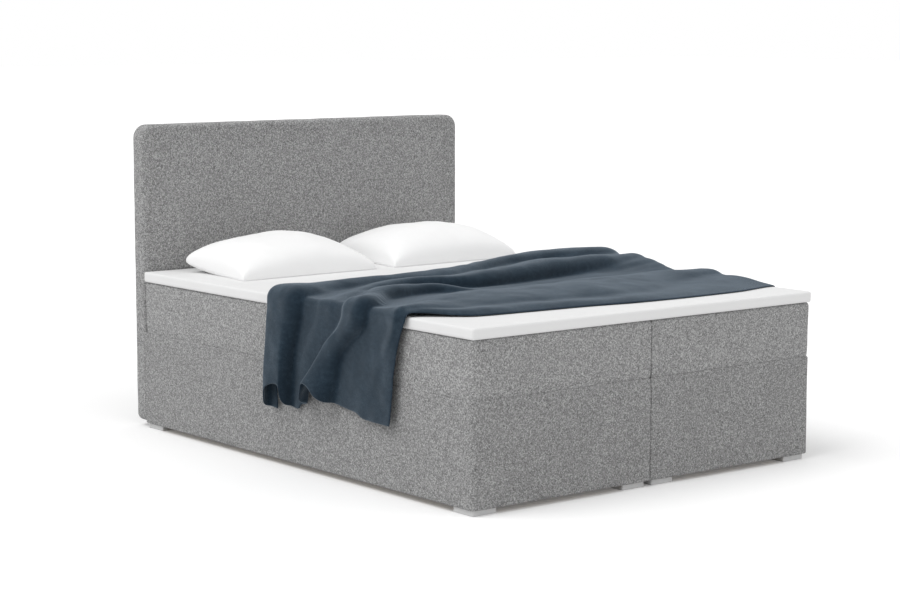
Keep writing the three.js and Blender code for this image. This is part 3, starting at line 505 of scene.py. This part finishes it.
for side in SIDES:
    chest_cover(side)
    lid_cover(side)


# Headboard

# Radii of its two upper and its two lower corners
HEAD_CORNERS = (0.052, 0.052, 0.028, 0.028)
HEAD_FRONT_EDGE = 0.018
HEAD_REAR_EDGE = 0.022

# Thickness of the cover round the panel's edges and in front of it
HEAD_WRAP = 0.026
HEAD_PAD = 0.040

# Rise of the front face, and the distance from its edge over which it rises
HEAD_CROWN = 0.0025
HEAD_CROWN_RUN = 0.12

HEAD_WAVE = 0.0008
HEAD_SEED = 13
HEAD_STEPS = (80, 60)
HEAD_CORNER_STEPS = 8
HEAD_WALL_ROWS = 4
HEAD_FRONT_ROWS = 16


def headboard_cover():
    low, high = headboard_box
    half_x, half_z = (high.x - low.x) / 2, (high.z - low.z) / 2
    depth = high.y - low.y
    centre = Vector((CENTRE_X, high.y, (high.z + low.z) / 2))
    wall = [(0, level) for level in levels(HEAD_REAR_EDGE, depth - HEAD_FRONT_EDGE, HEAD_WALL_ROWS)]
    profile = [(HEAD_WRAP, depth - HEAD_PAD), (HEAD_WRAP, 0), *round_under(HEAD_REAR_EDGE), *wall]
    profile += round_over(HEAD_FRONT_EDGE, depth)
    profile += flat_face(HEAD_FRONT_EDGE, half_z, depth, HEAD_FRONT_ROWS)
    points, ring_size = [], 0
    for inset, level in profile:
        ring = plan_ring(half_x, half_z, HEAD_CORNERS, inset, HEAD_STEPS, HEAD_CORNER_STEPS)
        ring_size = len(ring)
        for point in ring:
            forward = level
            if inset > HEAD_FRONT_EDGE and level == depth:
                forward += HEAD_CROWN * min((inset - HEAD_FRONT_EDGE) / HEAD_CROWN_RUN, 1)
            place = centre + Vector((point.x, -forward, point.y))
            outward = Vector((point.x, 0, point.y)).normalized()
            loose = 1 if 0 < level < depth and inset < HEAD_WRAP else 0
            points.append(place + outward * HEAD_WAVE * loose * wave(place, COVER_WAVE_SIZE, HEAD_SEED))
    faces = skin_faces(len(profile), ring_size, False)
    piece = make_piece("headboard_padding", points, faces, BOUCLE)
    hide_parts("headboard_upholstery")
    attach(piece, "root")


headboard_cover()


# Topper

TOPPER_CORNER = 0.010
TOPPER_EDGE = 0.008
TOPPER_WAVE = 0.0006
TOPPER_SEED = 17
TOPPER_STEPS = (80, 100)
TOPPER_WALL_ROWS = 4
TOPPER_TOP_ROWS = 16


def topper():
    centre, half_x, half_y, height = box_frame(*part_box("topper"))
    wall = [(0, level) for level in levels(TOPPER_EDGE, height - TOPPER_EDGE, TOPPER_WALL_ROWS)]
    profile = [*round_under(TOPPER_EDGE), *wall, *round_over(TOPPER_EDGE, height)]
    profile += flat_face(TOPPER_EDGE, half_x, height, TOPPER_TOP_ROWS)
    radii = (TOPPER_CORNER,) * 4
    rings = []
    for inset, level in profile:
        looseness = 1 if 0 < level < height else 0
        rings.append((plan_ring(half_x, half_y, radii, inset, TOPPER_STEPS), level, looseness))
    faces = skin_faces(len(rings), len(rings[0][0]), False)
    points = upholstery_points(rings, centre, TOPPER_SEED, TOPPER_WAVE)
    piece = make_piece("mattress_topper", points, faces, TOPPER_CLOTH)
    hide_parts("topper")
    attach(piece, "topper")


topper()


# Pillows

# Size, rise over the rim and fall under it
PILLOW_WIDTH = 0.654
PILLOW_DEPTH = 0.406
PILLOW_CROWN = 0.119
PILLOW_UNDERSIDE = 0.063

# How far its sides are drawn in at their middles, its rim's heights, and half the seam's thickness
PILLOW_SIDE_DRAW = 0.025
PILLOW_FRONT_DRAW = 0.007
PILLOW_FRONT_RIM = 0.006
PILLOW_REAR_RIM = 0.047
PILLOW_SEAM = 0.0012

# Fullness of both faces, the smaller the fuller, and where and how far the corners are drawn in
PILLOW_TOP_ROUND = 0.35
PILLOW_UNDER_ROUND = 0.32
PILLOW_CORNER_FROM = 0.72
PILLOW_CORNER_DRAW = (0.005, 0.004)

# Depth, size and step of the seed of its soft waves
PILLOW_WAVES = ((0.006, 0.16, 0), (0.0015, 0.05, 4))

# Parts of its mesh along each side
PILLOW_STEPS = 72

# Turn in radians and seed of each pillow
PILLOWS = {"left": (0.029, 21), "right": (0.013, 34)}


def pillow_point(face, across, along, seed):
    """A place on the pillow, face 1 above and -1 below, with across and along from -1 to 1."""
    corner = max((across * along) ** 2 - PILLOW_CORNER_FROM, 0) / (1 - PILLOW_CORNER_FROM)
    draw_x, draw_y = (draw * corner ** 2 for draw in PILLOW_CORNER_DRAW)
    x = across * (PILLOW_WIDTH / 2 - PILLOW_SIDE_DRAW * (1 - along ** 2) - draw_x)
    y = along * (PILLOW_DEPTH / 2 - PILLOW_FRONT_DRAW * (1 - across ** 2) - draw_y)
    swell = max((1 - across ** 2) * (1 - along ** 2), 0)
    rim = PILLOW_FRONT_RIM + (PILLOW_REAR_RIM - PILLOW_FRONT_RIM) * (along + 1) / 2
    if face < 0:
        return Vector((x, y, max(rim - PILLOW_SEAM - PILLOW_UNDERSIDE * swell ** PILLOW_UNDER_ROUND, 0)))
    flat = Vector((x, y, 0))
    soft = sum(depth * wave(flat, size, seed + shift) for depth, size, shift in PILLOW_WAVES)
    return Vector((x, y, rim + PILLOW_SEAM + (PILLOW_CROWN + soft) * swell ** PILLOW_TOP_ROUND))


def pillow(side, turn, seed):
    centre = box_frame(*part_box(f"{side}_pillow"))[0]
    steps = PILLOW_STEPS
    points = []
    shares = [math.sin((step / steps - 0.5) * math.pi) for step in range(steps + 1)]
    for face in (1, -1):
        for across in shares:
            for along in shares:
                points.append(pillow_point(face, across, along, seed))
    row = steps + 1
    under = row * row
    faces = []
    for first in range(0, steps * row, row):
        for corner in range(first, first + steps):
            faces.append((corner, corner + row, corner + row + 1, corner + 1))
            below = under + corner
            faces.append((below, below + 1, below + row + 1, below + row))
    rim_line = [step * row for step in range(steps)] + [steps * row + step for step in range(steps)]
    rim_line += [step * row + steps for step in range(steps, 0, -1)] + list(range(steps, 0, -1))
    for step, here in enumerate(rim_line):
        after = rim_line[(step + 1) % len(rim_line)]
        faces.append((here, under + here, under + after, after))
    cosine, sine = math.cos(turn), math.sin(turn)
    placed = []
    for point in points:
        turned_x = cosine * point.x - sine * point.y
        turned_y = sine * point.x + cosine * point.y
        placed.append(centre + Vector((turned_x, turned_y, point.z)))
    name = f"{side}_pillow_cushion"
    piece = make_piece(name, placed, faces, PILLOW_COTTON, SMOOTH_ALL_OVER)
    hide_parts(f"{side}_pillow")
    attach(piece, f"{side}_pillow")


for side, (turn, seed) in PILLOWS.items():
    pillow(side, turn, seed)


# Throw: a cloth over the topper that hangs down both sides, formed by fold lines across the bed
# from its front edge to its rear edge. At each station a line has its place along the bed, its
# height off the bed and, at the left end, how far it hangs. Where the cloth curls off a line, the
# turns in degrees at the stations follow, towards the line before and towards the line after.
# Station -1 is the left hem, 0 the topper's left edge, 1 its right edge and 2 the right hem.
STATIONS = (-1, -0.5, 0, 0.12, 0.25, 0.4, 0.55, 0.7, 0.85, 1, 2)
FOLD_LINES = (
    # places along the bed, heights off the bed, left hang, front turns, rear turns; front edge first
    ((0.413, 0.388, 0.336, 0.208, 0.19, 0.173, 0.14, 0.131, 0.137, 0.181, 0.204),
     (0.022, 0.02, 0.012, 0.001, 0, 0, 0, 0, 0, 0, 0.004), 0.372,
     None, None),
    ((0.442, 0.412, 0.355, 0.243, 0.227, 0.208, 0.179, 0.19, 0.25, 0.371, 0.379),
     (0.022, 0.022, 0.0195, 0.0168, 0.016, 0.0136, 0.012, 0.0088, 0.0096, 0.0192, 0.0136), 0.372,
     None, None),
    ((0.61, 0.479, 0.377, 0.429, 0.471, 0.45, 0.471, 0.529, 0.56, 0.508, 0.5),
     (0.0136, 0.02, 0.0304, 0.0368, 0.0408, 0.0408, 0.04, 0.0368, 0.0336, 0.0312, 0.0264), 0.356,
     (20, 20, 50, 60, 60, 60, 60, 50, 30, 20, 20), None),
    ((0.679, 0.56, 0.45, 0.521, 0.579, 0.55, 0.571, 0.6, 0.61, 0.56, 0.55),
     (0.0096, 0.012, 0.016, 0.0224, 0.028, 0.0304, 0.0304, 0.0304, 0.0312, 0.0304, 0.0248), 0.348,
     None, None),
    ((0.739, 0.7, 0.535, 0.65, 0.7, 0.681, 0.689, 0.721, 0.71, 0.679, 0.679),
     (0.008, 0.008, 0.007, 0.005, 0.004, 0.004, 0.004, 0.0048, 0.0072, 0.012, 0.0056), 0.34,
     None, None),
    ((0.825, 0.731, 0.597, 0.729, 0.779, 0.714, 0.735, 0.771, 0.76, 0.76, 0.75),
     (0.0744, 0.042, 0.047, 0.05, 0.0424, 0.008, 0.0056, 0.0072, 0.0096, 0.02, 0.0136), 0.284,
     (98, 80, 100, 118, 120, 80, 60, 50, 40, 30, 30), None),
    ((0.869, 0.781, 0.64, 0.779, 0.825, 0.739, 0.754, 0.789, 0.789, 0.8, 0.789),
     (0.0744, 0.039, 0.041, 0.042, 0.032, 0.008, 0.0056, 0.0072, 0.012, 0.032, 0.024), 0.276,
     None, (115, 55, 55, 55, 60, 50, 40, 40, 30, 30, 30)),
    ((0.929, 0.852, 0.718, 0.817, 0.852, 0.764, 0.785, 0.825, 0.846, 0.85, 0.839),
     (0.012, 0.009, 0.012, 0.0255, 0.0184, 0.0056, 0.0056, 0.008, 0.0224, 0.0424, 0.0336), 0.365,
     None, None),
    ((0.979, 0.9, 0.771, 0.854, 0.889, 0.8, 0.829, 0.871, 0.896, 0.946, 0.929),
     (0.0056, 0.008, 0.0136, 0.036, 0.0488, 0.0568, 0.0688, 0.0728, 0.068, 0.0568, 0.0528), 0.394,
     (40, 40, 40, 60, 100, 120, 120, 115, 80, 30, 30), (40, 40, 40, 50, 60, 60, 60, 60, 50, 40, 40)),
    ((1.019, 1, 0.939, 0.985, 1.01, 0.985, 1.021, 1.085, 1.11, 1.046, 1.029),
     (0.0032, 0.0032, 0.0048, 0.0096, 0.0184, 0.024, 0.028, 0.032, 0.036, 0.0456, 0.0304), 0.39,
     None, None),
    ((1.039, 1.027, 1.012, 1.075, 1.085, 1.085, 1.11, 1.171, 1.204, 1.125, 1.121),
     (0.06, 0.0544, 0.044, 0.0408, 0.04, 0.0424, 0.0488, 0.0608, 0.0672, 0.0688, 0.06), 0.304,
     (90, 88, 80, 60, 60, 80, 100, 105, 100, 60, 60), None),
    ((1.131, 1.131, 1.135, 1.15, 1.139, 1.146, 1.179, 1.271, 1.331, 1.279, 1.25),
     (0.0544, 0.048, 0.0336, 0.024, 0.0224, 0.024, 0.032, 0.0376, 0.0456, 0.052, 0.0496), 0.328,
     None, (110, 90, 60, 60, 60, 60, 60, 60, 60, 60, 60)),
    ((1.11, 1.125, 1.16, 1.179, 1.189, 1.2, 1.26, 1.371, 1.421, 1.5, 1.481),
     (0.008, 0.008, 0.008, 0.0024, 0, 0, 0, 0, 0, 0, 0.004), 0.408,
     None, None),
)
THROW_RIGHT_HANG = 0.204
THROW_THICKNESS = 0.005

# Gap under the throw, and how far inside the topper's side and top its bend round the edge has
# its centre
THROW_GAP = 0.0008
BEND_INSET = 0.009

# Steps across the bed: left hang, bend, top and right hang, and then from one line to the next
HANG_STEPS = 26
BEND_STEPS = 6
ACROSS_STEPS = 62
RIGHT_STEPS = 12
LINE_STEPS = 4

# Flank of a fold: its rows, then how much of the way to its valley it goes along the bed, in
# height and in hang, the least radius of a tube, and the turn past a quarter, in radians, over
# which a slope becomes a tube
FLANK_STEPS = 5
FLANK_REACH = 0.85
FLANK_DROP = 0.94
FLANK_FOLLOW = 0.92
LEAST_ROUND = 0.004
CURL_RANGE = 0.4

# Steps of the eased cloth from its front edge to its rear edge, and how often it is smoothed
EASE_ROWS = 104
EASE_PASSES = 4

# Least lengths that are divided by
LEAST_STEP = 1e-6
LEAST_TRAVEL = 1e-9

# Small swells of the cloth: depth, size and seed of each, how far off the bed they start, and the
# distance over which they grow
SWAYS = ((0.0028, 0.14, 41), (0.0012, 0.05, 43))
SWAY_FROM = 0.003
SWAY_RANGE = 0.02


def read_stations(values, at):
    """A smooth curve through the values at the stations, with no overshoot between them."""
    rise = [
        (values[step + 1] - values[step]) / (STATIONS[step + 1] - STATIONS[step])
        for step in range(len(STATIONS) - 1)
    ]

    def slope(station):
        if station in (0, len(rise)):
            return rise[min(station, len(rise) - 1)]
        before, after = rise[station - 1], rise[station]
        return 2 * before * after / (before + after) if before * after > 0 else 0

    following = sum(1 for station in STATIONS[:-1] if station < at)
    start = max(following, 1) - 1
    width = STATIONS[start + 1] - STATIONS[start]
    share = (at - STATIONS[start]) / width
    leave, arrive = slope(start) * width, slope(start + 1) * width
    change = values[start + 1] - values[start]
    return (
        values[start]
        + leave * share
        + (3 * change - 2 * leave - arrive) * share ** 2
        + (leave + arrive - 2 * change) * share ** 3
    )


def cloth_steps(left_hang):
    """Where the cloth would lie with no folds: place, way out and station of each step."""
    low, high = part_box("topper")
    bend = BEND_INSET + THROW_GAP + THROW_THICKNESS / 2
    half = (high.x - low.x) / 2 - BEND_INSET
    top = high.z - BEND_INSET
    steps = []
    for step in range(HANG_STEPS):
        share = 1 - step / HANG_STEPS
        steps.append((Vector((-half - bend, 0, top - left_hang * share)), Vector((-1, 0, 0)), -share))
    for step in range(BEND_STEPS):
        turn = step / BEND_STEPS * math.pi / 2
        out = Vector((-math.cos(turn), 0, math.sin(turn)))
        steps.append((Vector((-half, 0, top)) + bend * out, out, 0))
    for step in range(ACROSS_STEPS + 1):
        share = step / ACROSS_STEPS
        steps.append((Vector((half * (2 * share - 1), 0, top + bend)), Vector((0, 0, 1)), share))
    for step in range(BEND_STEPS - 1, -1, -1):
        turn = step / BEND_STEPS * math.pi / 2
        out = Vector((math.cos(turn), 0, math.sin(turn)))
        steps.append((Vector((half, 0, top)) + bend * out, out, 1))
    for step in range(1, RIGHT_STEPS + 1):
        share = step / RIGHT_STEPS
        place = Vector((half + bend, 0, top - THROW_RIGHT_HANG * share))
        steps.append((place, Vector((1, 0, 0)), 1 + share))
    return steps


def through(before, start, end, after, share):
    """A point of the smooth curve from start to end, which keeps its shape between uneven rows."""
    lead, run, trail = (
        max((second - first).length, LEAST_STEP) ** 0.5
        for first, second in ((before, start), (start, end), (end, after))
    )
    leave = ((start - before) / lead - (end - before) / (lead + run) + (end - start) / run) * run
    arrive = ((end - start) / run - (after - start) / (run + trail) + (after - end) / trail) * run
    return (
        start
        + leave * share
        + (3 * (end - start) - 2 * leave - arrive) * share ** 2
        + (2 * (start - end) + leave + arrive) * share ** 3
    )


def line_points(places, heights, left_hang):
    """Place along the bed, height off the bed, unfolded place and way out, at each step across."""
    return [
        (read_stations(places, station), read_stations(heights, station), place, out)
        for place, out, station in cloth_steps(left_hang)
    ]


def fold_flank(crest, valley, turns):
    """Rows down one flank of a fold, crest first. Up to a quarter turn the flank spreads towards
    the valley line, and past that it is a tube that overhangs the valley."""
    stations = [station for _, _, station in cloth_steps(0)]
    middle = len(crest) // 2
    direction = 1 if valley[middle][0] > crest[middle][0] else -1
    rows = [[] for _ in range(FLANK_STEPS)]
    for station, top, floor in zip(stations, crest, valley):
        place, height, base, out = top
        valley_place, valley_height, valley_base, _ = floor
        turn = math.radians(read_stations(turns, station))
        drop = max(height - valley_height, 0)
        spread = FLANK_REACH * abs(valley_place - place)
        tube = max(drop * FLANK_DROP / (1 - math.cos(turn)), LEAST_ROUND)
        curl = min(max((turn - math.pi / 2) / CURL_RANGE, 0), 1)
        reach = spread + (tube - spread) * curl
        for step, row in enumerate(rows, 1):
            share = step / FLANK_STEPS
            angle = turn * share
            fall = (1 - math.cos(angle)) / (1 - math.cos(turn)) * FLANK_DROP
            row.append((
                place + direction * reach * math.sin(angle),
                height - drop * fall,
                base.lerp(valley_base, FLANK_FOLLOW * (1 - (1 - share) ** 3)),
                out,
            ))
    return rows


def loosen(piece):
    """Lets the cloth swell and dip a little where it is lifted off the bed."""
    low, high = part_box("topper")
    normals = [Vector(vertex.normal) for vertex in piece.data.vertices]
    for vertex, normal in zip(piece.data.vertices, normals):
        place = vertex.co
        off = max(place.z - high.z, low.x - place.x, place.x - high.x) - SWAY_FROM
        freedom = min(max(off / SWAY_RANGE, 0), 1)
        sway = sum(depth * wave(place, size, seed) for depth, size, seed in SWAYS)
        vertex.co = place + normal * sway * freedom


def spread_evenly(column, count):
    """The column's points moved to equal distances along it."""
    travel = [0]
    for before, after in zip(column, column[1:]):
        travel.append(travel[-1] + (after - before).length)
    points = []
    part = 0
    for step in range(count + 1):
        at = travel[-1] * step / count
        while part < len(column) - 2 and travel[part + 1] < at:
            part += 1
        share = (at - travel[part]) / max(travel[part + 1] - travel[part], LEAST_TRAVEL)
        points.append(column[part].lerp(column[part + 1], min(max(share, 0), 1)))
    return points


def ease(rows):
    """Spreads the rows evenly from edge to edge and rounds off every crease between them."""
    columns = []
    for column in zip(*rows):
        points = spread_evenly(column, EASE_ROWS * 2)
        for _ in range(EASE_PASSES):
            points = [points[0]] + [
                points[at - 1] * 0.25 + points[at] * 0.5 + points[at + 1] * 0.25
                for at in range(1, len(points) - 1)
            ] + [points[-1]]
        columns.append(points[::2])
    return list(zip(*columns))


def beyond(near, far):
    """A line as far past the far one as that is from the near one."""
    return [2 * there - here for here, there in zip(near, far)]


def throw():
    skeleton = [line_points(places, heights, hang) for places, heights, hang, _, _ in FOLD_LINES]
    lines = []
    for number, (_, _, _, front, rear) in enumerate(FOLD_LINES):
        line = skeleton[number]
        if front:
            lines.extend(reversed(fold_flank(line, skeleton[number - 1], front)))
        lines.append(line)
        if rear:
            lines.extend(fold_flank(line, skeleton[number + 1], rear))
    lines = [
        [
            Vector((base.x + CENTRE_X, FOOT_Y + place, base.z)) + out * height
            for place, height, base, out in line
        ]
        for line in lines
    ]
    rows = []
    for gap in range(len(lines) - 1):
        start, end = lines[gap], lines[gap + 1]
        last = gap == len(lines) - 2
        before = lines[gap - 1] if gap else beyond(end, start)
        after = beyond(start, end) if last else lines[gap + 2]
        for step in range(LINE_STEPS + (1 if last else 0)):
            share = step / LINE_STEPS
            rows.append([through(*four, share) for four in zip(before, start, end, after)])
    rows = ease(rows)
    columns = len(rows[0])
    points = [point for row in rows for point in row]
    faces = []
    for first in range(0, (len(rows) - 1) * columns, columns):
        for corner in range(first, first + columns - 1):
            faces.append((corner, corner + 1, corner + columns + 1, corner + columns))
    piece = make_piece("fleece_throw", points, faces, FLEECE, SMOOTH_ALL_OVER)
    loosen(piece)
    thick = piece.modifiers.new("thickness", "SOLIDIFY")
    thick.thickness = THROW_THICKNESS
    thick.offset = 0
    thick.use_even_offset = False
    smooth = piece.modifiers.new("rounding", "SUBSURF")
    smooth.levels = smooth.render_levels = 1
    finish_modifiers(piece)
    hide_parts("throw")
    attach(piece, "throw")
    return piece


throw_piece = throw()


# Stage and light

SKY = 0.66
FLOOR_SIZE = 120

# Name, strength, spread in degrees and turn in degrees of each lamp
SUNS = [("key", 1.3, 45, (36, 0, -102)), ("fill", 0.38, 60, (53, 0, 8))]

# The floor's tone for the light it gives back and for the camera, and its glow for the camera alone
FLOOR_BOUNCE = 0.82
FLOOR_SEEN = 0.97
FLOOR_GLOW = 0.1


def stage():
    bpy.ops.object.select_all(action="DESELECT")
    bpy.ops.mesh.primitive_plane_add(size=FLOOR_SIZE, location=(0, 0, 0))
    floor = bpy.context.object
    floor.name = "floor"
    material = bpy.data.materials.new("floor")
    material.use_nodes = True
    tree = material.node_tree
    shader = tree.nodes["Principled BSDF"]
    shader.inputs["Roughness"].default_value = 1
    shader.inputs["Specular IOR Level"].default_value = 0
    path = tree.nodes.new("ShaderNodeLightPath")
    colour = tree.nodes.new("ShaderNodeMix")
    colour.data_type = "RGBA"
    colour.inputs["A"].default_value = (*grey(FLOOR_BOUNCE), 1)
    colour.inputs["B"].default_value = (*grey(FLOOR_SEEN), 1)
    tree.links.new(path.outputs["Is Camera Ray"], colour.inputs["Factor"])
    tree.links.new(colour.outputs["Result"], shader.inputs["Base Color"])
    glow = tree.nodes.new("ShaderNodeMath")
    glow.operation = "MULTIPLY"
    glow.inputs[1].default_value = FLOOR_GLOW
    tree.links.new(path.outputs["Is Camera Ray"], glow.inputs[0])
    shader.inputs["Emission Color"].default_value = (1, 1, 1, 1)
    tree.links.new(glow.outputs[0], shader.inputs["Emission Strength"])
    floor.data.materials.append(material)


def light():
    """A world that is white to the camera and in reflections, and dimmer as a light, and the lamps."""
    world = bpy.data.worlds.new("studio")
    bpy.context.scene.world = world
    world.use_nodes = True
    tree = world.node_tree
    soft = tree.nodes["Background"]
    soft.inputs["Color"].default_value = (1, 1, 1, 1)
    soft.inputs["Strength"].default_value = SKY
    white = tree.nodes.new("ShaderNodeBackground")
    white.inputs["Strength"].default_value = 1
    white.inputs["Color"].default_value = (1, 1, 1, 1)
    mix = tree.nodes.new("ShaderNodeMixShader")
    path = tree.nodes.new("ShaderNodeLightPath")
    seen = tree.nodes.new("ShaderNodeMath")
    seen.operation = "MAXIMUM"
    tree.links.new(path.outputs["Is Camera Ray"], seen.inputs[0])
    tree.links.new(path.outputs["Is Glossy Ray"], seen.inputs[1])
    tree.links.new(seen.outputs[0], mix.inputs[0])
    tree.links.new(soft.outputs[0], mix.inputs[1])
    tree.links.new(white.outputs[0], mix.inputs[2])
    tree.links.new(mix.outputs[0], tree.nodes["World Output"].inputs[0])
    for name, strength, spread, turn in SUNS:
        data = bpy.data.lights.new(name, "SUN")
        data.energy = strength
        data.angle = math.radians(spread)
        lamp = bpy.data.objects.new(name, data)
        lamp.rotation_euler = [math.radians(angle) for angle in turn]
        bpy.context.scene.collection.objects.link(lamp)


stage()
light()
